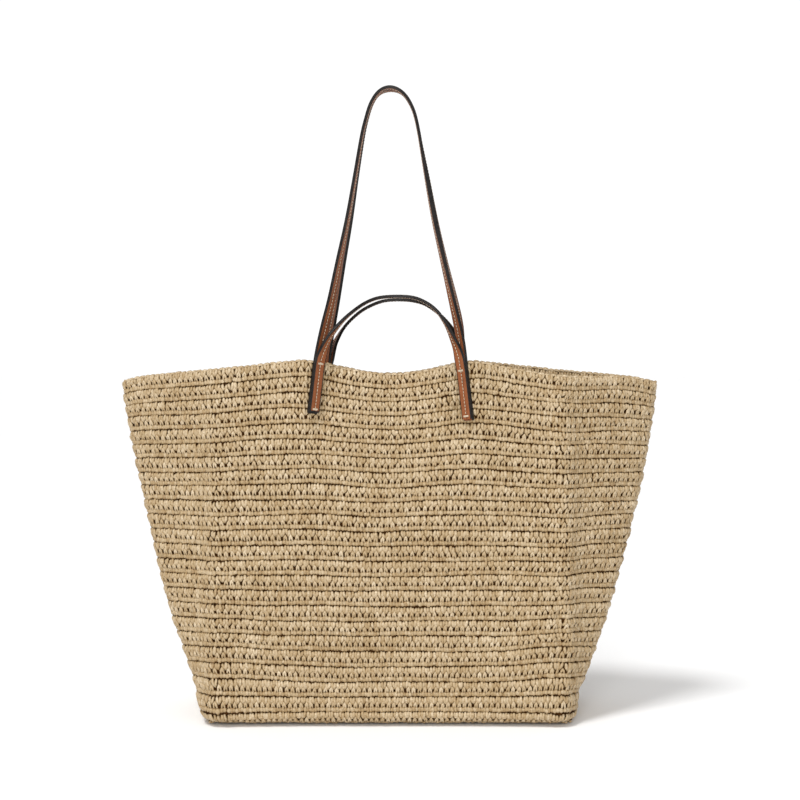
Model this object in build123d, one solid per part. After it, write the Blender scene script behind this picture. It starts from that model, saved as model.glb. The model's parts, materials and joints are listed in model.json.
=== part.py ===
from build123d import *

import math
import os

# Beach bag: a crocheted straw tote with two pairs of flat leather straps, a short
# hand pair and a long shoulder pair. Millimetres, +Z up, +X to the wearer's right
# when the front is seen, front face towards -Y. The origin is the centre of the base.

# Crocheted body
BASE_HALF_WIDTH = 190.0      # centre to side at the base
MOUTH_HALF_WIDTH = 285.0     # centre to the tip of the mouth
BASE_HALF_DEPTH = 80.0
MOUTH_HALF_DEPTH = 68.0
CREASE_X = 178.0             # upright fold between a face and a side gusset
BASE_TIP_DEPTH = 64.0        # half depth of the gusset's flat end at the base
MOUTH_TIP_DEPTH = 14.0       # the same at the mouth, squeezed almost to a fold
FLARE_POWER = 1.35           # the sides flare fastest near the base
FABRIC = 5.0                 # thickness of the crocheted fabric
BASE_THICKNESS = 6.0
CORNER_RADIUS = 13.0         # upright corners, outside
UNDERCUT = 7.0               # how far the wall turns in to the ground
UNDERCUT_HEIGHT = 13.0
LOFT_HEIGHT = 380.0          # the walls are lofted to here, then cut to the rim line

# Rim line: height of the edge against the distance from the middle
RIM_AT_MIDDLE = 356.0
RIM_AT_TABS = 367.0
RIM_AT_CREASE = 358.0
RIM_AT_QUARTER = 350.0
RIM_AT_TIP = 341.0
QUARTER_X = 258.0

# Leather straps
STRAP_WIDTH = 12.0
LAYER = 1.5                  # one thickness of leather; each strap is two glued layers
STRAP = 2 * LAYER
TAB_TOP_X = 72.0             # tab centre at the rim
TAB_BOTTOM_X = 78.0          # the tabs lean out towards their lower ends
TAB_LENGTH = 51.0
TAB_TOP_LEFT = 367.0         # height of the upper bar tack
TAB_TOP_RIGHT = 360.0
HAND_GAP = 5.1               # from a hinge line down to the sewn end, so that the
SHOULDER_GAP = 5.3           # folded loop clears the end's upper corner

# Short hand straps
HAND_HINGE_Z = 374.0
HAND_RISE = 60.5
HAND_LEAN = 26.0             # how far the top of the loop leans in over the mouth

# Long shoulder straps
SHOULDER_HINGE_Z = 430.0
SHOULDER_HINGE_X = 61.0
SHOULDER_TOP_Z = 659.5
SHOULDER_TOP_Y = -7.0
SHOULDER_TOP_RADIUS = 20.0
RIM_CLEARANCE = 2.5          # the strap starts to lean in this far above the rim
TWIST_HEIGHT = 170.0         # the quarter twist is over this far above the hinge

# Thread and backing
TACK_HEIGHT = 2.4
TACK_PROUD = 0.7
STITCH_LENGTH = 2.4
STITCH_PITCH = 3.6
STITCH_WIDTH = 0.9
PATCH_WIDTH = 16.0
PATCH_OVERLAP = 2.0

SIDES = {"left": -1, "right": 1}
FACES = {"front": 0, "rear": 180}


def wall_y(z):
    """Distance from the middle plane to the outside of the front and rear faces."""
    return BASE_HALF_DEPTH + (MOUTH_HALF_DEPTH - BASE_HALF_DEPTH) * z / RIM_AT_TABS


def section(z, inset=0.0):
    """Plan of the body at one height: an eight-sided outline with rounded corners."""
    rise = min(z / RIM_AT_TABS, 1.0)
    flare = 1 - (1 - rise) ** FLARE_POWER
    tip_x = BASE_HALF_WIDTH + (MOUTH_HALF_WIDTH - BASE_HALF_WIDTH) * flare
    tip_y = BASE_TIP_DEPTH + (MOUTH_TIP_DEPTH - BASE_TIP_DEPTH) * flare
    face_y = wall_y(z)
    quarter = [
        (CREASE_X - 0.6 * inset, face_y - inset),
        (tip_x - inset, tip_y - 0.6 * inset),
    ]
    right = quarter + [(x, -y) for x, y in reversed(quarter)]
    outline = right + [(-x, -y) for x, y in right]
    plan = Polygon(*outline, align=None)
    rounded = fillet(plan.vertices(), max(CORNER_RADIUS - inset, 4.0))
    return Pos(0, 0, z) * rounded.face()


def body_solid(inset):
    """The full body, turned in at the ground, at one inset from its outside."""
    levels = [UNDERCUT_HEIGHT, 90, 180, 270, LOFT_HEIGHT]
    foot = loft([section(0, inset + UNDERCUT), section(UNDERCUT_HEIGHT, inset)], ruled=True)
    return foot + loft([section(z, inset) for z in levels])


def above_rim():
    """Everything above the waving rim line, as a block to cut away."""
    right = [
        (TAB_TOP_X, RIM_AT_TABS),
        (CREASE_X, RIM_AT_CREASE),
        (QUARTER_X, RIM_AT_QUARTER),
        (MOUTH_HALF_WIDTH, RIM_AT_TIP),
        (MOUTH_HALF_WIDTH + 40, RIM_AT_TIP - 10),
    ]
    left = [(-x, z) for x, z in reversed(right)]
    edge = Spline(*[(x, 0, z) for x, z in left + [(0, RIM_AT_MIDDLE)] + right])
    far, top = MOUTH_HALF_WIDTH + 40, LOFT_HEIGHT + 40
    cap = Polyline(edge @ 1, (far, 0, top), (-far, 0, top), edge @ 0)
    return extrude(make_face(edge + cap), amount=MOUTH_HALF_WIDTH, both=True, dir=(0, 1, 0))


def crocheted_body():
    """The four walls, split at the creases, and the base that they grow from."""
    inside = body_solid(FABRIC)
    shell = body_solid(0) - inside - above_rim()
    half = Box(2 * CREASE_X, 300, 900, align=(Align.CENTER, Align.MAX, Align.CENTER))
    gusset = Pos(CREASE_X, 0, 0) * Box(300, 400, 900, align=(Align.MIN, Align.CENTER, Align.CENTER))
    slab = Box(600, 400, BASE_THICKNESS, align=(Align.CENTER, Align.CENTER, Align.MIN))
    return {
        "front_wall": shell & half,
        "rear_wall": shell & half.rotate(Axis.Z, 180),
        "left_gusset": shell & gusset.rotate(Axis.Z, 180),
        "right_gusset": shell & gusset,
        "base_panel": inside & slab,
    }


def frame_at(point, along, twist=0.0):
    """Plane across a strap: its x runs over the width and its y out of the face.
    At twist 0 the face looks outward, and at 90 it looks into the arch."""
    tangent = along.normalized()
    outward = Vector(0, -1, 0)
    outward = (outward - tangent * outward.dot(tangent)).normalized()
    rim_side = outward.cross(tangent)
    angle = math.radians(twist)
    face = outward * math.cos(angle) - rim_side * math.sin(angle)
    return Plane(origin=point, x_dir=tangent.cross(face) * -1, z_dir=tangent)


def strip(stations, low, high):
    """A leather layer through the stations, from low to high off their middle line."""
    across = Pos(0, (low + high) / 2) * Rectangle(STRAP_WIDTH, high - low)
    return loft([plane * across for plane in stations], ruled=True)


def tab_stations(side, top_z, off_wall):
    """Planes at both ends of a sewn tab, with its middle line off_wall from the face."""
    tack = TAB_TOP_LEFT if side < 0 else TAB_TOP_RIGHT
    up = Vector(0, wall_y(0) - wall_y(100), 100)
    normal = up.cross(Vector(-1, 0, 0)).normalized()
    bottom = Vector(side * TAB_BOTTOM_X, -wall_y(tack - TAB_LENGTH), tack - TAB_LENGTH)
    top = Vector(side * TAB_TOP_X, -wall_y(top_z), top_z)
    along = (top - bottom).normalized()
    return [
        Plane(origin=point + normal * off_wall, x_dir=normal.cross(along), z_dir=along)
        for point in (bottom, top)
    ]


def shoulder_foot(side, height=0.0):
    """Middle of a shoulder strap on its lean, height above or below the hinge line."""
    start_y = -wall_y(RIM_AT_TABS) - LAYER
    share = (SHOULDER_HINGE_Z + height - RIM_AT_TABS) / (SHOULDER_TOP_Z - RIM_AT_TABS)
    rim_share = (SHOULDER_HINGE_Z + height - RIM_AT_TABS) / (SHOULDER_HINGE_Z - RIM_AT_TABS)
    x = TAB_TOP_X + rim_share * (SHOULDER_HINGE_X - TAB_TOP_X)
    y = start_y + share * (SHOULDER_TOP_Y - start_y)
    return Vector(side * x, y, SHOULDER_HINGE_Z + height)


def hand_foot(side):
    """Middle of a hand strap on its hinge line."""
    return tab_stations(side, HAND_HINGE_Z, STRAP + LAYER)[1].origin


def smooth(t):
    return t * t * (3 - 2 * t)


def stations_through(points, twists):
    """Planes across a path, each turned by its twist in degrees."""
    last = len(points) - 1
    planes = []
    for i, point in enumerate(points):
        along = points[min(i + 1, last)] - points[max(i - 1, 0)]
        planes.append(frame_at(point, along, twists[i]))
    return planes


def hand_loop_stations():
    """Half a cubic arch from the left hinge to the top, then its mirror image."""
    foot = hand_foot(-1)
    knots = [(-TAB_TOP_X, 0), (-TAB_TOP_X + 2, 0.5), (-0.53 * TAB_TOP_X, 1), (0, 1)]
    steps = 10
    half = []
    for i in range(steps + 1):
        t = i / steps
        weights = [(1 - t) ** 3, 3 * t * (1 - t) ** 2, 3 * t * t * (1 - t), t ** 3]
        x = sum(w * knot[0] for w, knot in zip(weights, knots))
        rise = sum(w * knot[1] for w, knot in zip(weights, knots))
        point = (foot.Y + HAND_LEAN * rise ** 2, foot.Z + HAND_RISE * rise)
        half.append((x, *point, 90 * smooth(t)))
    return whole_arch(half)


def shoulder_loop_stations():
    """Straight legs that lean together, joined by a tight round top."""
    foot = shoulder_foot(-1)
    lean = Vector(0, SHOULDER_TOP_Y - foot.Y, SHOULDER_TOP_Z - foot.Z)
    centre = lean.length - SHOULDER_TOP_RADIUS
    reach = math.hypot(foot.X, centre)
    tilt = math.atan2(-foot.X, centre) - math.asin(SHOULDER_TOP_RADIUS / reach)
    start = math.pi - tilt
    legs, turns = 10, 6
    outline = []
    for i in range(turns + 1):
        angle = start - (start - math.pi / 2) * i / turns
        outline.append((math.cos(angle), math.sin(angle)))
    outline = [(SHOULDER_TOP_RADIUS * x, centre + SHOULDER_TOP_RADIUS * h) for x, h in outline]
    end_x, end_h = outline[0]
    leg = [(foot.X + (end_x - foot.X) * i / legs, end_h * i / legs) for i in range(legs)]
    half = []
    for x, height in leg + outline:
        point = foot + lean.normalized() * height
        half.append((x, point.Y, point.Z, 90 * smooth(min(height / TWIST_HEIGHT, 1))))
    return whole_arch(half)


def whole_arch(half):
    """Stations of an arch from its left half: x, y, z and twist, ending at the top."""
    arch = half + [(-x, y, z, twist) for x, y, z, twist in reversed(half[:-1])]
    points = [Vector(x, y, z) for x, y, z, twist in arch]
    return stations_through(points, [twist for x, y, z, twist in arch])


def loop_layers(stations):
    """The outer leather, with a rolled end on each hinge line, and its lining."""
    outer = strip(stations, 0, LAYER)
    for plane in (stations[0], stations[-1]):
        outer += Pos(*plane.origin) * Cylinder(LAYER, STRAP_WIDTH, rotation=(0, 90, 0))
    return {"outer": outer, "lining": strip(stations[1:-1], -LAYER, 0)}


def hand_end_layers(side):
    planes = tab_stations(side, HAND_HINGE_Z - HAND_GAP, STRAP + LAYER)
    return {"outer": strip(planes, 0, LAYER), "lining": strip(planes, -LAYER, 0)}


def shoulder_end_layers(side):
    """The sewn end: flat against the face, then up its lean to below the hinge line."""
    planes = tab_stations(side, RIM_AT_TABS + RIM_CLEARANCE, LAYER)
    bend = RIM_AT_TABS + 4 * RIM_CLEARANCE - SHOULDER_HINGE_Z
    rise = [shoulder_foot(side, height) for height in (bend, -SHOULDER_GAP)]
    planes += [frame_at(point, rise[1] - rise[0]) for point in rise]
    return {"outer": strip(planes, 0, LAYER), "lining": strip(planes, -LAYER, 0)}


def tab_thread(side):
    """A bar tack at each end of the tab and a row of stitches down its middle."""
    tack = TAB_TOP_LEFT if side < 0 else TAB_TOP_RIGHT
    plane = tab_stations(side, tack, 2 * STRAP)[0]
    length = TAB_LENGTH - TACK_HEIGHT
    bar = Box(STRAP_WIDTH - 2, TACK_PROUD, TACK_HEIGHT, align=(Align.CENTER, Align.MIN, Align.MIN))
    stitch = Box(STITCH_WIDTH, TACK_PROUD, STITCH_LENGTH, align=(Align.CENTER, Align.MIN, Align.CENTER))
    pieces = [plane * bar, plane * Pos(0, 0, length - TACK_HEIGHT) * bar]
    count = int((length - 3 * TACK_HEIGHT) / STITCH_PITCH)
    for i in range(count):
        pieces.append(plane * Pos(0, 0, 2 * TACK_HEIGHT + STITCH_PITCH * i) * stitch)
    return Compound(pieces)


def tab_patch(side):
    """A leather patch inside the wall, behind the tab, that holds the thread."""
    tack = TAB_TOP_LEFT if side < 0 else TAB_TOP_RIGHT
    plane = tab_stations(side, tack, 0)[0]
    size = (PATCH_WIDTH, LAYER, TAB_LENGTH - 2 * TACK_HEIGHT + PATCH_OVERLAP)
    patch = Box(*size, align=(Align.CENTER, Align.MAX, Align.MIN))
    return plane * Pos(0, -FABRIC, -PATCH_OVERLAP) * patch


def straps():
    """Both pairs of straps; the rear pair is the front one turned half a turn."""
    nodes = {}
    for face, turn in FACES.items():
        loops = {"hand": hand_loop_stations(), "shoulder": shoulder_loop_stations()}
        for kind, stations in loops.items():
            for layer, solid in loop_layers(stations).items():
                nodes[f"{face}_{kind}_strap_{layer}"] = solid.rotate(Axis.Z, turn)
        for name, side in SIDES.items():
            place = f"{face}_{name if turn == 0 else opposite(name)}"
            ends = {"hand": hand_end_layers(side), "shoulder": shoulder_end_layers(side)}
            for kind, layers in ends.items():
                for layer, solid in layers.items():
                    nodes[f"{place}_{kind}_end_{layer}"] = solid.rotate(Axis.Z, turn)
            nodes[f"{place}_tab_thread"] = tab_thread(side).rotate(Axis.Z, turn)
            nodes[f"{place}_tab_patch"] = tab_patch(side).rotate(Axis.Z, turn)
    return nodes


def opposite(name):
    return {"left": "right", "right": "left"}[name]


os.makedirs("parts", exist_ok=True)
for node, shape in {**crocheted_body(), **straps()}.items():
    export_step(shape, f"parts/{node}.step")
for name, point in (("hand hinge", hand_foot(1)), ("shoulder hinge", shoulder_foot(1))):
    print(f"{name}: x {point.X:.3f}  y {point.Y:.3f}  z {point.Z:.3f}")
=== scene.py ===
"""Beach bag: crocheted straw, two short hand straps and two long shoulder straps."""

import json
import math

import bpy
import numpy as np
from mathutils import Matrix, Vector


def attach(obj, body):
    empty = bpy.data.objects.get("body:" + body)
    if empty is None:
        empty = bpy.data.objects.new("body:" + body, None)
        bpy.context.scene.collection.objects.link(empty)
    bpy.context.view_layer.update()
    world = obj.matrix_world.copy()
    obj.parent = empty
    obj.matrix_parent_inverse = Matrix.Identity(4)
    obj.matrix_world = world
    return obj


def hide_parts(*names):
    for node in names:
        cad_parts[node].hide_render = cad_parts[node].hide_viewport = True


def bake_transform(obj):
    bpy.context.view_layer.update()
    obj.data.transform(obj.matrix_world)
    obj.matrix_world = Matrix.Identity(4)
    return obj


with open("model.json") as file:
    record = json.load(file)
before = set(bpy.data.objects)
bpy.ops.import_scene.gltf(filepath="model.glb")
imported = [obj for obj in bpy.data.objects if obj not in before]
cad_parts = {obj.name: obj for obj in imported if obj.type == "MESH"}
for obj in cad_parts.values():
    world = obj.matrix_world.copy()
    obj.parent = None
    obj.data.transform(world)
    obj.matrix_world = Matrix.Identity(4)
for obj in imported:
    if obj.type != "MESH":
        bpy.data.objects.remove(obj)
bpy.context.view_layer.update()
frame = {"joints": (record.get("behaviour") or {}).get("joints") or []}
MM = 0.001
RANDOM = np.random.default_rng(11)

# ---------------------------------------------------------------- sizes, in millimetres

BASE_HALF = (190.0, 80.0)
MOUTH_HALF = (285.0, 68.0)
CREASE_X = 178.0
BASE_TIP, MOUTH_TIP = 64.0, 14.0
FLARE_POWER = 1.35
RIM_TOP = 367.0
MIDDLE = 3.0                 # from the outside of the CAD wall to the middle of the crochet

STITCHES = 186               # round the wall
BANDS = 24                   # from the rim to where the wall has turned under
FOOT_Z = 5.4                 # middle of the fabric where it lies on the ground
LOWEST = 1.5                 # no strand's middle goes below this
TURN_RADIUS = 11.0           # how the wall rolls under to the base
CORNER_REACH = 17.0          # an upright corner is rounded over this much wall to each side
LOW_RIM = 7.0                # how much lower the front rim hangs, right of the middle
LOW_RIM_X, LOW_RIM_SPREAD = 165.0, 65.0
FOLD_SPREAD = 14.0           # how far the fold behind a tab spreads to each side

TAB_TOP_X, TAB_BOTTOM_X = 74.5, 80.5
TAB_LENGTH = 51.0
TAB_SHIFT = 4.5              # the rear right tab stands this much further out than the others
TAB_YAW = 36.0               # the tabs are turned towards the middle, and fold the wall with them

RIM = [(0, 356), (35, 359.5), (68, 367), (85, 371), (120, 367.5), (178, 361), (235, 356), (262, 353.5),
       (290, 346)]


# ---------------------------------------------------------------- small helpers


def smooth(t):
    t = np.clip(t, 0, 1)
    return t * t * (3 - 2 * t)


def tab_x(below, rear_right=0.0):
    """Distance of a tab's middle from the bag's middle, at a distance below its top."""
    return TAB_TOP_X + (TAB_BOTTOM_X - TAB_TOP_X) * below / TAB_LENGTH + TAB_SHIFT * rear_right


def bump(x, centre, width):
    return np.exp(-(((x - centre) / width) ** 2))


def unit(v):
    return v / np.maximum(np.linalg.norm(v, axis=-1, keepdims=True), 1e-9)


def lengths_along(line):
    """Distance from the start of a line to each of its points."""
    return np.r_[0, np.cumsum(np.linalg.norm(np.diff(line, axis=0), axis=1))]


def wave(x, y, seed, size):
    """Smooth irregular waves between -1 and 1 over a plane, from a few fixed sines."""
    draw = np.random.default_rng(seed)
    total = 0
    for _ in range(5):
        angle, phase = draw.uniform(0, math.tau, 2)
        pitch = draw.uniform(0.7, 1.6) * math.tau / size
        total = total + np.sin(pitch * (x * math.cos(angle) + y * math.sin(angle)) + phase)
    return total / 5


# ---------------------------------------------------------------- the wall's middle surface


def rim_height(x):
    """Height of the rim, its knots joined by a rounded line."""
    xs, zs = zip(*RIM)
    return np.mean([np.interp(np.abs(x + reach), xs, zs) for reach in np.linspace(-14, 14, 9)], axis=0)


def outline(z, reach, points=960):
    """Plan of the wall's middle line at height z, from the front middle round by +x."""
    rise = np.clip(z / RIM_TOP, 0, 1)
    flare = 1 - (1 - rise) ** FLARE_POWER
    tip_x = BASE_HALF[0] + (MOUTH_HALF[0] - BASE_HALF[0]) * flare - MIDDLE
    tip_y = BASE_TIP + (MOUTH_TIP - BASE_TIP) * flare - MIDDLE
    face_y = BASE_HALF[1] + (MOUTH_HALF[1] - BASE_HALF[1]) * z / RIM_TOP - MIDDLE
    crease_x = CREASE_X - MIDDLE
    right = [(crease_x, -face_y), (tip_x, -tip_y), (tip_x, tip_y), (crease_x, face_y)]
    corners = np.array(right + [(-x, -y) for x, y in right])
    start = np.array([[0.0, -face_y]])
    loop = np.vstack([start, corners, start])
    lengths = lengths_along(loop)
    at = np.linspace(0, lengths[-1], points, endpoint=False)
    line = np.stack([np.interp(at, lengths, loop[:, i]) for i in range(2)], 1)
    return round_corners(line, lengths[-1] / points, reach)


def round_corners(line, step, reach):
    """Rounds a closed plan's corners by averaging along it, about reach to each side."""
    span = max(int(reach / step), 1)
    kernel = np.hanning(2 * span + 3)[1:-1]
    kernel /= kernel.sum()
    wrapped = np.vstack([line[-span:], line, line[:span]])
    return np.stack([np.convolve(wrapped[:, i], kernel, "valid") for i in range(2)], 1)


def even(line, points):
    """The same closed plan with evenly spaced points."""
    loop = np.vstack([line, line[:1]])
    lengths = lengths_along(loop)
    at = np.linspace(0, lengths[-1], points, endpoint=False)
    return np.stack([np.interp(at, lengths, loop[:, i]) for i in range(2)], 1)


COLUMNS = 4 * STITCHES
STEPS = 6                    # grid rows for each band
EXTRA_ROWS = 2               # grid rows above the rim, for its edging


def turn_under(z):
    """Inset and height of the middle line near the ground, for a nominal height z."""
    low = FOOT_Z
    arc = TURN_RADIUS * math.pi / 2
    if z >= arc:
        return 0.0, low + TURN_RADIUS + (z - arc)
    angle = (arc - z) / TURN_RADIUS
    inset = TURN_RADIUS * (1 - math.cos(angle))
    return inset, low + TURN_RADIUS * (1 - math.sin(angle))


def wall_grid():
    """Points of the wall's middle surface, one row of the grid for each band step."""
    rows = []
    count = BANDS * STEPS + 1
    for i in range(count):
        share = 1 - i / (count - 1)
        nominal = share * (RIM_TOP - FOOT_Z - TURN_RADIUS * (1 - math.pi / 2))
        inset, z = turn_under(nominal)
        plan = even(outline(max(z, TURN_RADIUS), CORNER_REACH + inset), COLUMNS)
        if inset:
            plan = plan - inset * plan_normals(plan)
        low_side = LOW_RIM * bump(plan[:, 0], LOW_RIM_X, LOW_RIM_SPREAD) * (plan[:, 1] < 0)
        drop = np.clip(z / RIM_TOP, 0, 1) ** 3 * (RIM_TOP - rim_height(plan[:, 0]) + low_side)
        rows.append(np.column_stack([plan, z - drop]))
    grid = np.array(rows)
    above = [2 * grid[0] - grid[k] for k in range(EXTRA_ROWS, 0, -1)]
    return np.concatenate([above, grid])


def plan_normals(plan):
    along = np.roll(plan, -1, axis=0) - np.roll(plan, 1, axis=0)
    return unit(np.column_stack([along[:, 1], -along[:, 0]]))


def nearest_tab_x(x, y, z):
    """Distance out to the middle of the tab in each point's quarter of the wall."""
    return tab_x(RIM_TOP - z, (x > 0) & (y > 0))


def near_face(y):
    """Rises from 0 to 1 as a point nears the front or rear face."""
    return smooth((np.abs(y) - 40) / 10)


def soften(grid):
    """The slack of real crochet: a hollow front, proud creases, puffed lower corners."""
    x, y, z = grid[..., 0], grid[..., 1], grid[..., 2]
    normals = grid_normals(grid)
    high = np.clip(z / RIM_TOP, 0, 1)
    face = smooth((np.abs(y) - 30) / 20) * smooth((CREASE_X - np.abs(x)) / 30)
    hollow = 7 * bump(x, 0, 38) * smooth((high - 0.55) / 0.45)
    hollow = hollow + 3.5 * bump(high, 0.12, 0.2) * bump(x, 0, 130)
    ridge = 2.0 * bump(np.abs(x), CREASE_X, 10) * smooth((1 - high) / 0.2)
    dent = 2.5 * bump(np.abs(x), CREASE_X + 22, 18) * smooth((1 - high) / 0.3)
    corner = 4.5 * bump(np.abs(x), CREASE_X, 24) * bump(z, 16, 14)
    pleat = 3.0 * bump(x, 170, 4) * (y < 0) * smooth((z - 25) / 20) * smooth((150 - z) / 40)
    slack = 1.5 * wave(x + 2 * y, z, 3, 120)
    beside = np.abs(x) - nearest_tab_x(x, y, z)
    at_tab = smooth((z - 285) / 35) * near_face(y)
    tab_hold = 1 - bump(beside, 0, FOLD_SPREAD) * at_tab
    fold = math.tan(math.radians(TAB_YAW)) * beside * bump(beside, 0, FOLD_SPREAD) * at_tab
    shift = (-hollow * face + ridge - dent + corner - pleat + slack * (0.35 + 0.65 * face)) * tab_hold
    shift = shift * smooth((z - 5) / 10) + fold
    out = grid + shift[..., None] * normals
    rows = wave(x + y, z * 2.2, 8, 90) * 1.3 + wave(x, z * 3, 9, 260) * 1.0
    rows = rows + 5.0 * bump(np.abs(x), 165, 38) * bump(z, 60, 60)
    out[..., 2] += rows * smooth((z - 6) / 60) * smooth((RIM_TOP + 8 - z) / 45)
    side = smooth((np.abs(x) - 140) / 70)
    left_sag = 3.4 * side * bump(z, 105, 85) * (x < 0)
    right_top = 3.0 * side * smooth((z - 230) / 120) * (x > 0)
    out[..., 0] -= left_sag + right_top
    right_foot = 6.0 * side * bump(z, 24, 18) * (x > 0)
    out[..., 0] -= right_foot
    return out


def tab_print(grid):
    """Where the sewn tabs press the crochet flat: 1 under them and 0 away from them."""
    x, y, z = grid[..., 0], grid[..., 1], grid[..., 2]
    beside = smooth((11 - np.abs(np.abs(x) - nearest_tab_x(x, y, z))) / 4)
    return beside * smooth((z - 300) / 5) * near_face(y)


def grid_normals(grid):
    """Outward normals of the wall grid."""
    along = np.roll(grid, -1, axis=1) - np.roll(grid, 1, axis=1)
    down = np.gradient(grid, axis=0)
    return unit(np.cross(down, along))


class Surface:
    """A grid of points, mapped from stitch number, band number and height off it."""

    def __init__(self, grid, per_stitch, per_band, wraps, first_row=0):
        self.grid, self.first_row = grid, first_row
        self.per_stitch, self.per_band, self.wraps = per_stitch, per_band, wraps
        self.squeeze = np.ones(grid.shape[:2] + (1,))
        if wraps:
            self.normals = grid_normals(grid)
            self.squeeze = 1 - 0.3 * tab_print(grid)[..., None]
        else:
            self.normals = np.broadcast_to((0.0, 0.0, -1.0), grid.shape)

    def sample(self, table, u, v):
        rows, columns = table.shape[:2]
        fu, fv = u * self.per_stitch, v * self.per_band + self.first_row
        fv = np.clip(fv, 0, rows - 1.001)
        if not self.wraps:
            fu = np.clip(fu, 0, columns - 1.001)
        iu, iv = np.floor(fu).astype(int), np.floor(fv).astype(int)
        tu, tv = (fu - iu)[..., None], (fv - iv)[..., None]
        left, right = iu % columns, (iu + 1) % columns
        upper = table[iv, left] * (1 - tu) + table[iv, right] * tu
        lower = table[iv + 1, left] * (1 - tu) + table[iv + 1, right] * tu
        return upper * (1 - tv) + lower * tv

    def place(self, u, v, off):
        off = off[..., None] * self.sample(self.squeeze, u, v)
        points = self.sample(self.grid, u, v) + off * self.normal(u, v)
        points[..., 2] = np.maximum(points[..., 2], LOWEST)
        return points

    def normal(self, u, v):
        return unit(self.sample(self.normals, u, v))


# ---------------------------------------------------------------- yarn


# One stitch of each kind of strand: across (stitches), down (bands), off the middle
# surface, half width and half thickness (mm). The rows run along the strand.
ARM = np.array([
    (0.23, 0.000, 1.2, 1.05, 0.80),
    (0.22, 0.08, 2.4, 1.80, 1.15),
    (0.25, 0.17, 2.8, 1.95, 1.25),
    (0.32, 0.28, 2.7, 1.90, 1.15),
    (0.41, 0.36, 2.1, 1.55, 1.00),
    (0.48, 0.44, 0.8, 0.70, 0.70),
])
TOOTH = np.array([
    (-0.21, 0.73, 1.0, 0.80, 0.80),
    (-0.20, 0.61, 2.2, 0.95, 1.00),
    (-0.14, 0.46, 2.6, 1.50, 1.20),
    (0.00, 0.345, 2.7, 1.85, 1.30),
    (0.14, 0.46, 2.6, 1.50, 1.20),
    (0.20, 0.61, 2.2, 0.95, 1.00),
    (0.21, 0.73, 1.0, 0.80, 0.80),
])
RIB = np.array([
    (-0.05, 0.820, 0.4, 1.50, 0.90),
    (0.12, 0.810, 1.8, 2.65, 1.15),
    (0.37, 0.775, 2.0, 2.75, 1.20),
    (0.55, 0.760, 0.5, 1.50, 0.90),
])
INNER_ARM = np.array([
    (0.24, 0.01, -1.2, 1.50, 1.0),
    (0.24, 0.26, -2.2, 1.85, 1.2),
    (0.40, 0.57, -1.3, 1.60, 1.0),
])
INNER_RIB = np.array([
    (-0.15, 0.74, -1.2, 1.90, 1.0),
    (0.50, 0.79, -2.2, 2.70, 1.3),
    (1.15, 0.84, -1.2, 1.90, 1.0),
])
EDGE = np.array([
    (-0.12, 0.05, 0.9, 0.9, 0.9),
    (0.20, -0.02, 1.2, 1.5, 1.4),
    (0.62, -0.04, 1.2, 1.5, 1.4),
    (1.02, 0.00, 0.2, 0.8, 0.8),
])


def mirrored(strand):
    other = strand.copy()
    other[:, 0] = 1 - other[:, 0]
    return other


def strands_on(surface, strand, cells, seed):
    """Centre lines, normals and half sizes of one kind of strand in every cell."""
    draw = np.random.default_rng(seed)
    count, knots = len(cells), len(strand)
    u = cells[:, :1] + strand[:, 0] + draw.normal(0, 0.05, (count, 1))
    v = cells[:, 1:2] + strand[:, 1] + draw.normal(0, 0.018, (count, 1))
    u = u + draw.normal(0, 0.02, (count, knots))
    off = strand[:, 2] + draw.normal(0, 0.3, (count, 1))
    size = 1 + draw.normal(0, 0.09, (count, 1))
    tilt = draw.normal(0, 0.02, (count, 1)) * np.linspace(-1, 1, knots)
    v = v + tilt
    lines = surface.place(u, v, off)
    return lines, surface.normal(u, v), strand[:, 3] * size, strand[:, 4] * size


def tubes(lines, normals, wide, thick, sides):
    """Closed tubes along many lines at once: points, quads, caps and yarn coordinates."""
    along = unit(np.gradient(lines, axis=1))
    face = unit(normals - along * np.sum(normals * along, axis=-1, keepdims=True))
    across = np.cross(along, face)
    angle = np.arange(sides) * math.tau / sides
    ring = (
        across[:, :, None] * (np.cos(angle)[:, None] * wide[..., None, None])
        + face[:, :, None] * (np.sin(angle)[:, None] * thick[..., None, None])
    )
    points = (lines[:, :, None] + ring).reshape(-1, 3)
    count, knots = lines.shape[:2]
    first = (np.arange(count) * knots * sides)[:, None, None]
    row = (np.arange(knots - 1) * sides)[None, :, None]
    side = np.arange(sides)[None, None, :]
    turn = (side + 1) % sides
    quads = np.stack([
        first + row + side, first + row + turn,
        first + row + sides + turn, first + row + sides + side,
    ], -1).reshape(-1, 4)
    start = first[:, 0] + np.arange(sides)[::-1]
    end = first[:, 0] + (knots - 1) * sides + np.arange(sides)
    caps = np.vstack([start, end])
    length = np.linalg.norm(np.diff(lines, axis=1), axis=2).sum(1)
    run = np.linspace(0, 1, knots)[None, :] * length[:, None]
    return points, quads, caps, run


# Tint of the straw: how much the strands differ, how far their flanks fall below it as painted
# shade, how much their faces rise as painted light, and what one step of tint does to the colour.
TINT_SPREAD, TINT_LIMIT = 0.5, 0.7
FLANK_PAINTED_SHADE, FACE_PAINTED_LIGHT = 1.5, 1.8
TINT_STEP = 0.11


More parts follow.
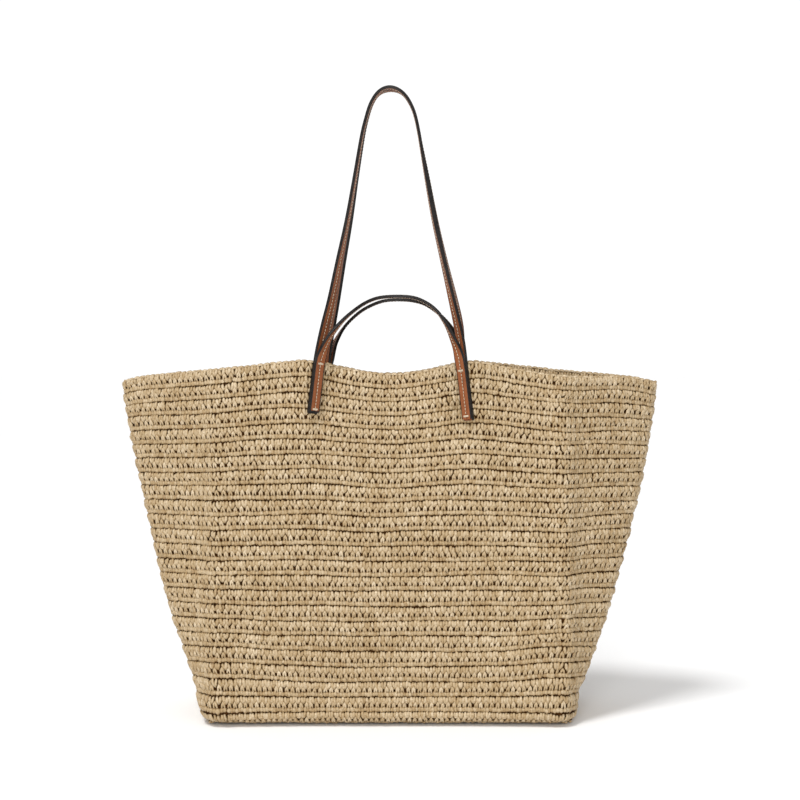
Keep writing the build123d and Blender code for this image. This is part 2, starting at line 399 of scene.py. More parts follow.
def yarn_mesh(name, groups):
    """One mesh from several groups of tubes, with a tint (painted light and shade included) and a yarn
    run for each point.
    """
    points, quads, caps, tints, runs, tags = [], [], [], [], [], []
    base = 0
    for seed, (lines, normals, wide, thick, sides, shade) in enumerate(groups):
        p, q, c, run = tubes(lines, normals, wide, thick, sides)
        draw = np.random.default_rng(100 + seed)
        each = lines.shape[1] * sides
        facing = np.abs(np.sin(np.arange(sides) * math.tau / sides))
        own = np.clip(draw.normal(0, TINT_SPREAD, len(lines)), -TINT_LIMIT, TINT_LIMIT)
        tint = np.repeat(own, each) + shade
        # Painted shade on each strand's flanks and painted light on its faces, by how squarely each
        # ring point faces in or out.
        tint = tint + np.tile(FACE_PAINTED_LIGHT * facing - FLANK_PAINTED_SHADE, lines.shape[0] * lines.shape[1])
        offset = np.repeat(draw.uniform(0, 900, len(lines)), each)
        points.append(p)
        quads.append(q + base)
        caps.append(c + base)
        tints.append(tint)
        runs.append(np.repeat(run.reshape(-1), sides))
        tags.append(offset)
        base += len(p)
    mesh = new_mesh(name, np.vstack(points), [np.vstack(quads), *caps])
    add_floats(mesh, "tint", np.concatenate(tints))
    add_floats(mesh, "run", np.concatenate(runs))
    add_floats(mesh, "tag", np.concatenate(tags))
    return mesh


def new_mesh(name, points, face_groups, smooth_faces=True):
    """A mesh from points in millimetres and arrays of faces of one size each."""
    mesh = bpy.data.meshes.new(name)
    corners = np.concatenate([faces.reshape(-1) for faces in face_groups]).astype(np.int32)
    sizes = np.concatenate([np.full(len(f), f.shape[1], np.int32) for f in face_groups])
    starts = np.r_[0, np.cumsum(sizes)[:-1]].astype(np.int32)
    mesh.vertices.add(len(points))
    mesh.vertices.foreach_set("co", (points * MM).astype(np.float32).reshape(-1))
    mesh.loops.add(len(corners))
    mesh.loops.foreach_set("vertex_index", corners)
    mesh.polygons.add(len(sizes))
    mesh.polygons.foreach_set("loop_start", starts)
    mesh.update(calc_edges=True)
    mesh.validate()
    if smooth_faces:
        mesh.shade_smooth()
    return mesh


def add_floats(mesh, name, values):
    layer = mesh.attributes.new(name, "FLOAT", "POINT")
    layer.data.foreach_set("value", values.astype(np.float32))


def add_piece(name, mesh, material, body, replaced=()):
    piece = bpy.data.objects.new(name, mesh)
    bpy.context.collection.objects.link(piece)
    for one in material if isinstance(material, (list, tuple)) else [material]:
        mesh.materials.append(one)
    if body:
        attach(piece, body)
    if replaced:
        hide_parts(*replaced)
    return piece


# ---------------------------------------------------------------- materials


def material(name, roughness, **sockets):
    made = bpy.data.materials.new(name)
    made.use_nodes = True
    shader = made.node_tree.nodes["Principled BSDF"]
    shader.inputs["Roughness"].default_value = roughness
    for socket, value in sockets.items():
        shader.inputs[socket.replace("_", " ")].default_value = value
    return made, made.node_tree.nodes, made.node_tree.links, shader


def srgb(*levels):
    """A colour given in 0 to 255 display levels, as the shader needs it."""
    return [*(((c / 255 + 0.055) / 1.055) ** 2.4 for c in levels), 1]


def ramp_node(nodes, stops):
    ramp = nodes.new("ShaderNodeValToRGB")
    while len(ramp.color_ramp.elements) < len(stops):
        ramp.color_ramp.elements.new(0.5)
    for element, (place, colour) in zip(ramp.color_ramp.elements, stops):
        element.position = place
        element.color = colour
    return ramp


def math_node(nodes, links, operation, first, second):
    node = nodes.new("ShaderNodeMath")
    node.operation = operation
    for socket, value in zip(node.inputs, (first, second)):
        if isinstance(value, (int, float)):
            socket.default_value = value
        else:
            links.new(value, socket)
    return node.outputs[0]


def noise_node(nodes, links, vector, scale, detail=3.0, rough=0.55):
    noise = nodes.new("ShaderNodeTexNoise")
    noise.inputs["Scale"].default_value = scale
    noise.inputs["Detail"].default_value = detail
    noise.inputs["Roughness"].default_value = rough
    links.new(vector, noise.inputs["Vector"])
    return noise.outputs["Fac"]


def object_place(nodes):
    return nodes.new("ShaderNodeTexCoord").outputs["Object"]


def colour_by(nodes, links, shader, level, stops):
    """Takes the base colour from a level, through a ramp."""
    ramp = ramp_node(nodes, stops)
    links.new(level, ramp.inputs[0])
    links.new(ramp.outputs[0], shader.inputs["Base Color"])


def roughness_by(nodes, links, shader, level, scale, least):
    """Takes the roughness from a level, from least upwards."""
    rough = math_node(nodes, links, "MULTIPLY_ADD", level, scale)
    rough.node.inputs[2].default_value = least
    links.new(rough, shader.inputs["Roughness"])


def bump_by(nodes, links, shader, height, strength, distance):
    """Raises fine relief from a level; distance is in metres."""
    bumps = nodes.new("ShaderNodeBump")
    bumps.inputs["Strength"].default_value = strength
    bumps.inputs["Distance"].default_value = distance
    links.new(height, bumps.inputs["Height"])
    links.new(bumps.outputs[0], shader.inputs["Normal"])


def straw_material():
    """Paper straw: pale dry tan, streaked and creased; its tint carries painted shade that makes each
    strand's flanks browner.
    """
    made, nodes, links, shader = material("straw", 0.55, Specular_IOR_Level=0.7)
    place = object_place(nodes)
    values = {}
    for name in ("tint", "run", "tag"):
        read = nodes.new("ShaderNodeAttribute")
        read.attribute_name = name
        values[name] = read.outputs["Fac"]
    patchy = noise_node(nodes, links, place, 30.0)
    streaks = noise_node(nodes, links, place, 900.0, 2.0)
    crease = nodes.new("ShaderNodeCombineXYZ")
    links.new(math_node(nodes, links, "MULTIPLY", values["run"], 0.9), crease.inputs["X"])
    links.new(values["tag"], crease.inputs["Y"])
    folds = noise_node(nodes, links, crease.outputs[0], 1.0, 2.0)
    level = math_node(nodes, links, "MULTIPLY", values["tint"], TINT_STEP)
    level = math_node(nodes, links, "ADD", level, 0.5)
    for source, weight in ((patchy, 0.22), (streaks, 0.25), (folds, 0.25)):
        part = math_node(nodes, links, "SUBTRACT", source, 0.5)
        part = math_node(nodes, links, "MULTIPLY", part, weight)
        level = math_node(nodes, links, "ADD", level, part)
    colour_by(nodes, links, shader, level, [
        (0.20, srgb(118, 80, 30)),
        (0.42, srgb(163, 137, 96)),
        (0.60, srgb(190, 169, 136)),
        (0.80, srgb(234, 218, 190)),
    ])
    roughness_by(nodes, links, shader, streaks, 0.25, 0.40)
    bump_by(nodes, links, shader, streaks, 0.7, 0.0005)
    return made


def shade_core_material():
    """Painted shade: the depth of the fabric seen between the strands, coloured as straw in shadow."""
    made, nodes, links, shader = material("straw_core_painted_shade", 0.9, Specular_IOR_Level=0.1)
    place = object_place(nodes)
    patchy = noise_node(nodes, links, place, 400.0)
    colour_by(nodes, links, shader, patchy, [(0.3, srgb(40, 22, 6)), (0.7, srgb(78, 48, 18))])
    return made


def leather_material(name, pale, dark):
    """Smooth tan leather with a faint grain and uneven dye."""
    made, nodes, links, shader = material(name, 0.5, Specular_IOR_Level=0.2)
    place = object_place(nodes)
    dye = noise_node(nodes, links, place, 90.0, 4.0)
    grain = nodes.new("ShaderNodeTexVoronoi")
    grain.inputs["Scale"].default_value = 1500.0
    links.new(place, grain.inputs["Vector"])
    pores = math_node(nodes, links, "MULTIPLY", grain.outputs["Distance"], 0.35)
    level = math_node(nodes, links, "ADD", dye, pores)
    colour_by(nodes, links, shader, level, [(0.35, dark), (0.65, pale), (0.9, pale)])
    roughness_by(nodes, links, shader, dye, 0.3, 0.40)
    bump_by(nodes, links, shader, grain.outputs["Distance"], 0.25, 0.0002)
    return made


def edge_material():
    """Near-black edge paint, slightly glossy and a little uneven."""
    made, nodes, links, shader = material("edge_paint", 0.35, Specular_IOR_Level=0.25)
    place = object_place(nodes)
    patchy = noise_node(nodes, links, place, 250.0, 4.0)
    colour_by(nodes, links, shader, patchy, [(0.35, srgb(14, 11, 10)), (0.75, srgb(32, 26, 23))])
    roughness_by(nodes, links, shader, patchy, 0.3, 0.22)
    return made


def thread_material():
    """Cream waxed thread with a fine twist."""
    made, nodes, links, shader = material("thread", 0.55)
    place = object_place(nodes)
    twist = noise_node(nodes, links, place, 2500.0, 2.0)
    colour_by(nodes, links, shader, twist, [(0.3, srgb(168, 148, 122)), (0.7, srgb(208, 194, 172))])
    bump_by(nodes, links, shader, twist, 0.5, 0.0001)
    return made


def floor_material():
    """A plain pale studio floor, with the faintest unevenness."""
    made, nodes, links, shader = material("studio_floor", 0.85, Specular_IOR_Level=0.15)
    place = object_place(nodes)
    patchy = noise_node(nodes, links, place, 2.0)
    shades = [(0.3, (0.945, 0.945, 0.945, 1)), (0.7, (0.96, 0.96, 0.96, 1))]
    colour_by(nodes, links, shader, patchy, shades)
    return made


# ---------------------------------------------------------------- crocheted walls and base


def cells_in(first_band, last_band, surface, pick, offsets):
    """Cells (stitch, band) of some bands whose middle passes pick."""
    found = []
    for band in range(first_band, last_band):
        u = np.arange(STITCHES) + offsets[band]
        v = np.full(STITCHES, float(band))
        middle = surface.place(u + 0.5, v + 0.5, np.zeros(STITCHES))
        keep = pick(middle)
        found.append(np.column_stack([u, v])[keep])
    return np.vstack(found)


def crochet_groups(surface, cells, seed):
    """Every strand of a set of stitches, outside and inside."""
    # Kinds as (strand, sides, shade): the last number lifts or lowers the strand's tint as painted
    # light and shade, with left leaves lighter than right ones, teeth lighter still, and ribs and
    # inside strands darker.
    kinds = [
        (ARM, 6, 0.15), (mirrored(ARM), 6, 0.05), (TOOTH, 6, 0.35),
        (RIB, 6, -0.3), (RIB + (0.5, 0, 0, 0, 0), 6, -0.3),
        (INNER_ARM, 5, -0.4), (mirrored(INNER_ARM), 5, -0.4), (INNER_RIB, 5, -0.5),
    ]
    groups = []
    for i, (strand, sides, shade) in enumerate(kinds):
        lines, normals, wide, thick = strands_on(surface, strand, cells, seed * 20 + i)
        groups.append((lines, normals, wide, thick, sides, shade))
    return groups


def core_mesh(name, grid, half, wraps):
    """A thin closed sheet in the middle of the fabric, behind the strands."""
    surface = Surface(grid, 1, 1, wraps)
    normals = surface.normals
    rows, columns = grid.shape[:2]
    points = np.vstack([
        (grid + half * normals).reshape(-1, 3),
        (grid - half * normals).reshape(-1, 3),
    ])
    span = columns if wraps else columns - 1
    r, c = np.meshgrid(np.arange(rows - 1), np.arange(span), indexing="ij")
    nxt = (c + 1) % columns
    outer = np.stack([
        r * columns + c, (r + 1) * columns + c,
        (r + 1) * columns + nxt, r * columns + nxt,
    ], -1).reshape(-1, 4)
    under = rows * columns
    inner = outer[:, ::-1] + under
    rims = []
    for row, flip in ((0, False), (rows - 1, True)):
        edge = np.stack([row * columns + c[0], row * columns + nxt[0]], -1)
        band = np.column_stack([edge, edge[:, ::-1] + under])
        rims.append(band[:, ::-1] if flip else band)
    if not wraps:
        for column, flip in ((0, True), (columns - 1, False)):
            line = np.arange(rows - 1) * columns + column
            edge = np.stack([line, line + columns], -1)
            band = np.column_stack([edge, edge[:, ::-1] + under])
            rims.append(band[:, ::-1] if flip else band)
    return new_mesh(name, points, [outer, inner, *rims])


def side_of(place):
    """Which wall a point of the body belongs to."""
    x, y = place[:, 0], place[:, 1]
    side = np.where(y < 0, "front_wall", "rear_wall")
    return np.where(x > CREASE_X, "right_gusset", np.where(x < -CREASE_X, "left_gusset", side))


def build_walls(straw, shade_core):
    """Crochet for each wall, in three heights, and the sheet behind all of it."""
    surface = Surface(soften(wall_grid()), COLUMNS / STITCHES, STEPS, True, EXTRA_ROWS)
    offsets = RANDOM.uniform(0, 1, BANDS)
    thirds = np.linspace(0, BANDS, 4).astype(int)
    for wall_seed, wall in enumerate(("front_wall", "rear_wall", "left_gusset", "right_gusset")):
        for part, name in enumerate(("upper", "middle", "lower")):
            cells = cells_in(
                thirds[part], thirds[part + 1], surface, lambda p: side_of(p) == wall, offsets
            )
            groups = crochet_groups(surface, cells, 1 + part + 3 * wall_seed)
            if name == "upper":
                top = cells[cells[:, 1] == 0]
                for inside, seed in ((False, 71), (True, 72)):
                    edge = EDGE.copy()
                    edge[:, 2] *= -1 if inside else 1
                    lines, normals, wide, thick = strands_on(surface, edge, top, seed)
                    groups.append((lines, normals, wide, thick, 6, 0.3))
            mesh = yarn_mesh(f"{wall}_crochet_{name}", groups)
            add_piece(f"{wall}_crochet_{name}", mesh, straw, "bag", [wall])
    # The sheet behind the strands carries painted shade.
    sheet = core_mesh("wall_core", surface.grid[EXTRA_ROWS::2, ::2], 0.7, True)
    add_piece("wall_core", sheet, shade_core, "bag")


BASE_ROWS = 9
BASE_STITCH = 6.6
BASE_REACH = 185.0           # half length of the base, out to where the walls turn under


def build_base(straw, shade_core):
    """Straight rows of crochet, gathered into the walls all round."""
    half_y = BASE_HALF[1] - MIDDLE - TURN_RADIUS
    across = int(2 * BASE_REACH / BASE_STITCH)
    rows, columns = BASE_ROWS * STEPS + 1, 2 * across + 1
    x = np.linspace(-BASE_REACH, BASE_REACH, columns)
    y = np.linspace(-half_y - 1, half_y + 1, rows)
    gx, gy = np.meshgrid(x, y)
    gz = FOOT_Z + 0.6 * wave(gx, gy, 21, 80)
    surface = Surface(np.stack([gx, gy, gz], -1), 2, STEPS, False)
    cells = np.array([(u, v) for v in range(BASE_ROWS) for u in range(across)], float)
    cells[:, 0] += np.repeat(RANDOM.uniform(-0.4, 0.4, BASE_ROWS), across)
    groups = crochet_groups(surface, cells, 40)
    mesh = yarn_mesh("base_crochet", groups)
    add_piece("base_crochet", mesh, straw, "bag", ["base_panel"])
    # The sheet behind the strands carries painted shade.
    sheet = core_mesh("base_core", surface.grid[::3, ::2], 0.7, False)
    add_piece("base_core", sheet, shade_core, "bag")


# ---------------------------------------------------------------- straps

STRAP_WIDTH = 11.2
LAYER = 1.5
TACK_Z = {-1: 369.5, 1: 362.5}    # tops of the left and right tabs
LIFT = 2.5                   # the soft straps stand a little higher than in the CAD model


def joint_point(name):
    joint = next(j for j in frame["joints"] if j["name"] == name)
    return np.array(joint["pos_m"]) / MM


def wall_y(z):
    """How far the outside of a face stands from the bag's middle plane at height z."""
    return BASE_HALF[1] + (MOUTH_HALF[1] - BASE_HALF[1]) * z / RIM_TOP


def catmull(points, per_span):
    """A smooth line through a few points, with evenly spaced steps in each span."""
    points = np.array(points, float)
    padded = np.vstack([2 * points[0] - points[1], points, 2 * points[-1] - points[-2]])
    line = []
    for i in range(len(points) - 1):
        a, b, c, d = padded[i:i + 4]
        for t in np.linspace(0, 1, per_span, endpoint=False):
            line.append(0.5 * (2 * b + (c - a) * t + (2 * a - 5 * b + 4 * c - d) * t ** 2
                               + (3 * b - a - 3 * c + d) * t ** 3))
    return np.array(line + [points[-1]])


def resample(line, step):
    lengths = lengths_along(line)
    at = np.linspace(0, lengths[-1], int(lengths[-1] / step) + 1)
    return np.stack([np.interp(at, lengths, line[:, i]) for i in range(3)], 1)


def strap_frames(line, twist):
    """Tangent, width and face directions along a strap; twist is in degrees."""
    along = unit(np.gradient(line, axis=0))
    outward = np.array([0.0, -1.0, 0.0])
    outward = unit(outward - along * (along @ outward)[:, None])
    away = np.cross(outward, along)
    angle = np.radians(twist)[:, None]
    face = outward * np.cos(angle) - away * np.sin(angle)
    return along, np.cross(along, face), face


def tab_point(face, side, z, off_wall):
    """Middle of a strap at height z on its turned tab, its middle off_wall off the crochet."""
    yaw = math.radians(TAB_YAW)
    x = tab_x(TACK_Z[side] - z, face == "rear" and side < 0) - off_wall * math.sin(yaw)
    return (side * x, -wall_y(z) - off_wall * math.cos(yaw), z)


HAND_RISE, HAND_LEAN = 60.5, 26.0
# Half arches of the hand straps, left then right as seen facing them: distance out from the
# middle and height above the hinge. Read off the photo by eye, then turned into millimetres
# by a scratch script; some points were rounded or moved by hand.
HAND_LEGS = {
    "front": ([(70.2, -1), (67.7, 6.3), (62.7, 17.3), (55.3, 27.7),
               (46.7, 37.6), (36.6, 46.5), (25.9, 54), (12.3, 59.4)],
              [(68.2, 4), (62.5, 18.4), (57.8, 28.9), (53.1, 37),
               (47.3, 45.2), (38.4, 52.9), (24.4, 59.4), (7, 60.9)]),
    "rear": ([(77.5, 5), (71, 25.5), (57.8, 42), (40, 55.4), (25.3, 60.3), (9, 61.6)],
             [(64.9, 9.3), (59.6, 20.6), (50.8, 34), (38.3, 45.9), (25.9, 53.9), (9, 60.3)]),
}
SHOULDER_TOP = np.array([-7.0, 658.7])
# Legs of the shoulder straps, left then right as seen facing them: distance out from the
# middle and height. They were found in the same way.
SHOULDER_LEGS = {
    "front": ([(71.5, 381), (66.9, 405), (61, 431), (53.2, 472.5), (44.9, 514.7), (37.6, 560),
               (30.4, 606), (25.3, 628), (22, 639), (16.1, 650), (9.6, 656.2)],
              [(71.7, 384), (68.3, 405), (62.7, 431), (53.6, 472.5), (44.6, 514.7), (37.2, 558),
               (29.8, 606), (25.6, 627), (21.3, 639), (14.6, 650), (7.4, 656)]),
    "rear": ([(77, 386), (76, 408), (70.3, 436), (59.4, 479), (49.3, 522), (40.4, 565), (32, 603),
              (26.3, 630), (21.6, 642.8), (14.9, 653.1), (8, 657.5)],
             [(71, 381), (65.7, 408), (60.1, 436), (52.2, 479), (44.1, 522), (36.8, 568), (29.5, 611.7),
              (24.8, 631.5), (21, 642.8), (15.1, 653.1), (8, 657.5)]),
}
SHOULDER_TURN = {-1: 150.0, 1: 80.0}    # height over which the left and right legs twist


def hand_line(face):
    """Middle line of a hand strap, from the left tab over its arch to the right tab."""
    hinge = joint_point(f"{face}_hand_strap_fold")
    depth = -abs(hinge[1])
    sides = []
    for side, legs in zip((-1, 1), HAND_LEGS[face]):
        tack = TACK_Z[side]
        heights = (tack - TAB_LENGTH, tack - 30, tack - 3)
        points = [tab_point(face, side, z, 3 * LAYER) for z in heights]
        for out, up in legs:
            points.append((side * out, depth + HAND_LEAN * (up / HAND_RISE) ** 2, hinge[2] + up + LIFT))
        sides.append(points)
    return relaxed(resample(catmull(sides[0] + sides[1][::-1], 12), 1.6), 6)


def shoulder_line(face):
    """Middle line of a shoulder strap, under the hand strap's ends and up to its top."""
    foot = np.array([-wall_y(RIM_TOP) - LAYER, RIM_TOP])
    sides = []
    for side, legs in zip((-1, 1), SHOULDER_LEGS[face]):
        tack = TACK_Z[side]
        heights = (tack - TAB_LENGTH - 1.3, tack - 30, tack - 3)
        points = [tab_point(face, side, z, LAYER) for z in heights]
        for out, z in legs:
            share = (z - foot[1]) / (SHOULDER_TOP[1] - foot[1])
            points.append((side * out, foot[0] + share * (SHOULDER_TOP[0] - foot[0]), z + LIFT))
        sides.append(points)
    middle = (sides[0][-1][0] + sides[1][-1][0]) / 2
    top = [(middle, SHOULDER_TOP[0], SHOULDER_TOP[1] + LIFT)]
    return relaxed(resample(catmull(sides[0] + top + sides[1][::-1], 12), 1.8), 8)


def relaxed(line, rounds):
    """The line with its small kinks eased out; its sewn ends stay where they are."""
    for _ in range(rounds):
        eased = (line[:-2] + 2 * line[1:-1] + line[2:]) / 4
        free = smooth((eased[:, 2:] - 350) / 20)
        line = np.vstack([line[:1], line[1:-1] + free * (eased - line[1:-1]), line[-1:]])
    return line


def hand_twist(line, hinge_z):
    up = np.clip((line[:, 2] - hinge_z) / HAND_RISE, 0, 1)
    return TAB_YAW + (90 - TAB_YAW) * (1 - (1 - up) ** 2.6)


def shoulder_twist(line, turned):
    up = np.maximum(line[:, 2] - RIM_TOP, 0)
    side = np.sign(line[:, 0]) * (-1 if turned else 1)
    over = np.where(side < 0, SHOULDER_TURN[-1], SHOULDER_TURN[1])
    share = (1 - np.exp(-up / over)) / (1 - np.exp(-up.max() / over))
    return TAB_YAW + (90 - TAB_YAW) * share


PAINT = 0.95                 # how far the edge paint comes onto the face


def layer_profile(outer):
    """Half of a layer's section, from the face's middle to the glue line: across, up."""
    half = STRAP_WIDTH / 2
    top = LAYER
    profile = [
        (0.0, top - 0.14), (0.55, top - 0.12), (0.8, top), (2.8, top + 0.03),
        (half - PAINT, top), (half - PAINT + 0.05, top + 0.06), (half - 0.35, top + 0.02),
        (half - 0.05, top - 0.22), (half + 0.05, top - 0.6), (half + 0.05, 0.25), (half - 0.06, 0.0),
    ]
    return [(across, up if outer else -up) for across, up in profile]


def strip_mesh(name, points):
    """A closed strip through rings of points: rows, points round each ring, xyz."""
    rows, sides = points.shape[:2]
    r, s = np.meshgrid(np.arange(rows - 1), np.arange(sides), indexing="ij")
    turn = (s + 1) % sides
    quads = np.stack([
        r * sides + s, (r + 1) * sides + s,
        (r + 1) * sides + turn, r * sides + turn,
    ], -1)
    caps = np.stack([np.arange(sides), (rows - 1) * sides + np.arange(sides)[::-1]])
    return new_mesh(name, points.reshape(-1, 3), [quads.reshape(-1, 4), caps])


def strap_mesh(name, line, frames, outer):
    """A leather layer with painted edges and ends, as one closed strip."""
    _, width, face = frames
    half = layer_profile(outer)
    ring = half + [(-across, up) for across, up in reversed(half[1:])]
    ring.append((0.0, 0.0))
    across, up = np.array(ring if outer else ring[::-1]).T
    steps = lengths_along(line)
    from_end = np.minimum(steps, steps[-1] - steps)
    narrow = 1 - 0.09 * (1 - smooth(from_end / 1.8)) ** 2
    points = (
        line[:, None] + width[:, None] * (across * narrow[:, None])[..., None]
        + face[:, None] * (up * np.ones_like(narrow)[:, None])[..., None]
    )
    mesh = strip_mesh(name, points)
    edge_side = np.abs((across + np.roll(across, -1)) / 2) > STRAP_WIDTH / 2 - PAINT
    painted = edge_side[None, :] | (from_end[:-1, None] < 1.0)
    flags = np.r_[painted.reshape(-1).astype(np.int32), 1, 1]
    mesh.polygons.foreach_set("material_index", flags)
    mark_sharp(mesh)
    return mesh


def mark_sharp(mesh, angle=50):
    mesh.set_sharp_from_angle(angle=math.radians(angle))


STITCH_PITCH = 3.5
# One stitch and one wrap of a bar tack: along the thread and off the leather.
STITCH = [(-1.25, -0.3), (-0.85, 0.18), (0, 0.3), (0.85, 0.18), (1.25, -0.3)]
TACK_WRAP = [(-1.0, -0.2), (-0.65, 0.35), (0, 0.5), (0.65, 0.35), (1.0, -0.2)]
THREAD_SIZE = np.array([0.25, 0.42, 0.45, 0.42, 0.25])


def stitch_row(line, frames, level, start, end):
    """Thread along a strap's middle: tubes at level off its middle line."""
    _, width, face = frames
    steps = lengths_along(line)
    middles = np.arange(start, steps[-1] - end, STITCH_PITCH)
    reach, proud = np.array(STITCH).T
    at = middles[:, None] + reach
    sign = math.copysign(1, level)

    def read(table):
        return np.stack([np.interp(at, steps, table[:, i]) for i in range(3)], -1)

    normals = unit(read(face)) * sign
    lines = read(line) + normals * (abs(level) + proud)[None, :, None]
    lines = lines + read(width) * RANDOM.normal(0, 0.06, (len(middles), 1, 1))
    size = np.broadcast_to(THREAD_SIZE, lines.shape[:2])
    return lines, normals, size, size * 0.8


def bar_tack(point, width, face, up, wraps=8, pitch=0.72):
    """A dense bar of thread laid over itself, across the strap."""
    reach, proud = np.array(TACK_WRAP).T
    lines = []
    for i in range(wraps):
        slide = (i - (wraps - 1) / 2) * pitch
        lean = RANDOM.normal(0, 0.12)
        lines.append(point + width * slide + up[None] * reach[:, None]
                     + face[None] * proud[:, None] + width[None] * (lean * reach[:, None] / 2))
    lines = np.array(lines)
    normals = np.broadcast_to(face, lines.shape)
    size = np.broadcast_to(THREAD_SIZE, lines.shape[:2])
    return lines, normals, size, size * 0.9


def thread_mesh(name, groups, turned):
    """Thread tubes in one mesh; turned gives the rear of the bag."""
    points, quads, caps, base = [], [], [], 0
    for lines, normals, wide, thick in groups:
        p, q, c, _ = tubes(lines, normals, wide, thick, 6)
        points.append(p)
        quads.append(q + base)
        caps.append(c + base)
        base += len(p)
    return new_mesh(name, turn_about(np.vstack(points), turned), [np.vstack(quads), *caps])


def turn_about(points, turned):
    return points * (-1, -1, 1) if turned else points


def build_straps(leather, lining, paint, thread):
    """All four straps with their thread; the rear ones are turned half a turn."""
    for face in ("front", "rear"):
        turned = face == "rear"
        for kind in ("hand", "shoulder"):
            body = f"{face}_{kind}_strap"
            hinge = joint_point(f"{body}_fold")
            line = hand_line(face) if kind == "hand" else shoulder_line(face)
            twist = hand_twist(line, hinge[2]) if kind == "hand" else shoulder_twist(line, turned)
            frames = strap_frames(line, twist)
            groups = strap_stitches(kind, line, frames)
            leaves = {
                "outer": strap_mesh(f"{body}_outer_leather", line, frames, True),
                "lining": strap_mesh(f"{body}_lining_leather", line, frames, False),
            }
            for layer, mesh in leaves.items():
                flip_mesh(mesh, turned)
                skin = leather if layer == "outer" else lining
                ends = [f"{face}_{side}_{kind}_end_{layer}" for side in ("left", "right")]
                name = f"{body}_{layer}_leather"
                piece = add_piece(name, mesh, [skin, paint], None, [f"{body}_{layer}", *ends])
                bend_at(piece)
            mesh = thread_mesh(f"{body}_stitches", groups, turned)
            piece = add_piece(f"{body}_stitches", mesh, thread, None)
            bend_at(piece)
            if kind == "hand":
                build_tacks(face, line, frames, thread, turned)


def flip_mesh(mesh, turned):
    if turned:
        points = np.empty(len(mesh.vertices) * 3, np.float32)
        mesh.vertices.foreach_get("co", points)
        points = points.reshape(-1, 3) * (-1, -1, 1)
        mesh.vertices.foreach_set("co", points.astype(np.float32).reshape(-1))
        mesh.update()


def bend_at(piece):
    """Bakes a strap piece's placement into its mesh."""
    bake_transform(piece)


def strap_stitches(kind, line, frames):
    """The centre rows on both sides of a strap, clear of what it is sewn to."""
    tab = TAB_LENGTH + 4
    level = LAYER - 0.12
    outer_ends = (5.0, 5.0) if kind == "hand" else (tab, tab)
    return [
        stitch_row(line, frames, level, *outer_ends),
        stitch_row(line, frames, -level, tab, tab),
    ]


def build_tacks(face, line, frames, thread, turned):
    """Two bar tacks on each tab."""
    along, width, out = frames
    steps = lengths_along(line)
    for side, name in ((-1, "left"), (1, "right")):
        groups = []
        for reach in (3.2, TAB_LENGTH - 1.5):
            at = np.argmin(np.abs(steps - (reach if side < 0 else steps[-1] - reach)))
            point = line[at] + out[at] * LAYER
            groups.append(bar_tack(point, width[at], out[at], along[at]))
        place = name if not turned else {"left": "right", "right": "left"}[name]
        mesh = thread_mesh(f"{face}_{place}_bar_tacks", groups, turned)
        replaced = [f"{face}_{place}_tab_thread"]
        add_piece(f"{face}_{place}_bar_tacks", mesh, thread, "bag", replaced)


PATCH_HALF = 8.0
PATCH_IN = 3.2               # from the middle of the crochet in to the patch
PATCH_ACROSS = np.array([-1, -0.97, -0.5, 0, 0.5, 0.97, 1])
PATCH_BEVEL = np.array([0.3, 0, 0, 0, 0, 0, 0.3])


def build_patches(lining):
    """Leather patches inside the wall, each following the fold behind its tab."""
    across = PATCH_HALF * np.r_[PATCH_ACROSS, PATCH_ACROSS[::-1]]
    deep = np.r_[PATCH_BEVEL, LAYER - PATCH_BEVEL]
    for face in ("front", "rear"):
        for side in (-1, 1):
            z = np.linspace(TACK_Z[side] - TAB_LENGTH + 1.5, TACK_Z[side] - 9, 10)[:, None]
            out = tab_x(RIM_TOP - z, face == "rear" and side < 0) + across
            fold = math.tan(math.radians(TAB_YAW)) * across * bump(across, 0, FOLD_SPREAD)
            y = PATCH_IN + deep + MIDDLE - wall_y(z) - fold
            points = np.stack([side * out, y, z + 0 * out], -1)[:, ::side]
            mesh = strip_mesh(f"{face}_{side}_patch", turn_about(points, face == "rear"))
            mark_sharp(mesh)
            place = "left" if (side < 0) == (face == "front") else "right"
            name = f"{face}_{place}_tab_patch"
            add_piece(f"{name}_leather", mesh, lining, "bag", [name])


# ---------------------------------------------------------------- studio


def area_light(name, place, target, size, power):
    lamp = bpy.data.lights.new(name, "AREA")
    lamp.shape = "DISK"
    lamp.size = size
    lamp.energy = power
    light = bpy.data.objects.new(name, lamp)
    light.location = place
    light.rotation_euler = (Vector(target) - Vector(place)).to_track_quat("-Z", "Y").to_euler()
    bpy.context.collection.objects.link(light)


FLOOR_HALF = 60.0            # metres
SUN_ENERGY = 1.72
SUN_ANGLE = math.radians(16)
SUN_DIRECTION = (0.40, 0.48, -1.2)
SKY_STRENGTH = 1.06


def build_studio():
    floor = bpy.data.meshes.new("studio_floor")
    half = FLOOR_HALF
    corners = [(-half, -half, 0), (half, -half, 0), (half, half, 0), (-half, half, 0)]
    floor.from_pydata(corners, [], [(0, 1, 2, 3)])
    ground = bpy.data.objects.new("studio_floor", floor)
    floor.materials.append(floor_material())
    bpy.context.collection.objects.link(ground)
    build_sky()
    sun = bpy.data.lights.new("key", "SUN")
    sun.energy = SUN_ENERGY
    sun.angle = SUN_ANGLE
    key = bpy.data.objects.new("key", sun)
    key.rotation_euler = Vector(SUN_DIRECTION).to_track_quat("-Z", "Y").to_euler()
    bpy.context.collection.objects.link(key)
    area_light("soft_box", place=(-0.2, -2.2, 0.9), target=(0, 0, 0.2), size=0.7, power=18)
    bpy.context.scene.view_settings.view_transform = "Standard"


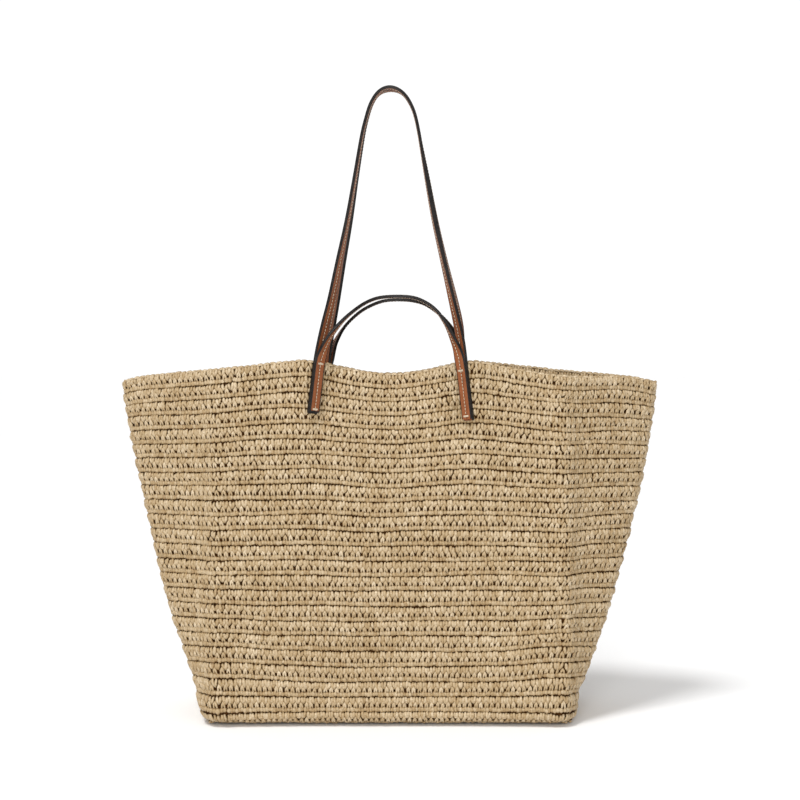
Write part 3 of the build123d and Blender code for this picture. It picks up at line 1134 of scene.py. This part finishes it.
def build_sky():
    """White behind the bag and low down all round, dimmer above, dimmest high at the sides."""
    world = bpy.data.worlds.new("studio_world")
    world.use_nodes = True
    nodes, links = world.node_tree.nodes, world.node_tree.links
    parts = nodes.new("ShaderNodeSeparateXYZ")
    links.new(nodes.new("ShaderNodeTexCoord").outputs["Generated"], parts.inputs[0])
    card = ramp_node(nodes, [(0.72, (0, 0, 0, 1)), (0.88, (1, 1, 1, 1))])
    links.new(parts.outputs["Y"], card.inputs[0])
    band = ramp_node(nodes, [(0.17, (1, 1, 1, 1)), (0.27, (0, 0, 0, 1))])
    links.new(math_node(nodes, links, "ABSOLUTE", parts.outputs["Z"], 0.0), band.inputs[0])
    over = ramp_node(nodes, [(0.45, (0.58, 0.58, 0.58, 1)), (0.80, (0.35, 0.35, 0.35, 1))])
    links.new(math_node(nodes, links, "ABSOLUTE", parts.outputs["X"], 0.0), over.inputs[0])
    level = math_node(nodes, links, "MAXIMUM", card.outputs[0], band.outputs[0])
    level = math_node(nodes, links, "MAXIMUM", level, over.outputs[0])
    links.new(level, nodes["Background"].inputs["Color"])
    nodes["Background"].inputs["Strength"].default_value = SKY_STRENGTH
    bpy.context.scene.world = world


CAMERA_HEIGHT = 0.3625
CAMERA_DISTANCE = 1.561      # to the middle of the bag
CAMERA_X = 0.0095            # right of the bag's middle, so the bag stands left in the picture
LENS, SENSOR = 66.0, 36.0
SHIFT_Y = -0.03875           # moves the bag up in the picture while the camera stays level


def build_camera():
    camera = bpy.data.cameras.new("camera")
    camera.lens, camera.sensor_width = LENS, SENSOR
    view = bpy.data.objects.new("camera", camera)
    view.location = (CAMERA_X, -CAMERA_DISTANCE, CAMERA_HEIGHT)
    view.rotation_euler = (math.radians(90), 0, 0)
    camera.shift_y = SHIFT_Y
    camera.clip_end = 200
    bpy.context.collection.objects.link(view)
    bpy.context.scene.camera = view


def main():
    build_camera()
    build_studio()
    straw, shade_core = straw_material(), shade_core_material()
    leather = leather_material("leather", srgb(134, 78, 45), srgb(96, 53, 30))
    lining = leather_material("leather_lining", srgb(114, 67, 40), srgb(80, 46, 27))
    build_walls(straw, shade_core)
    build_base(straw, shade_core)
    build_straps(leather, lining, edge_material(), thread_material())
    build_patches(lining)


main()
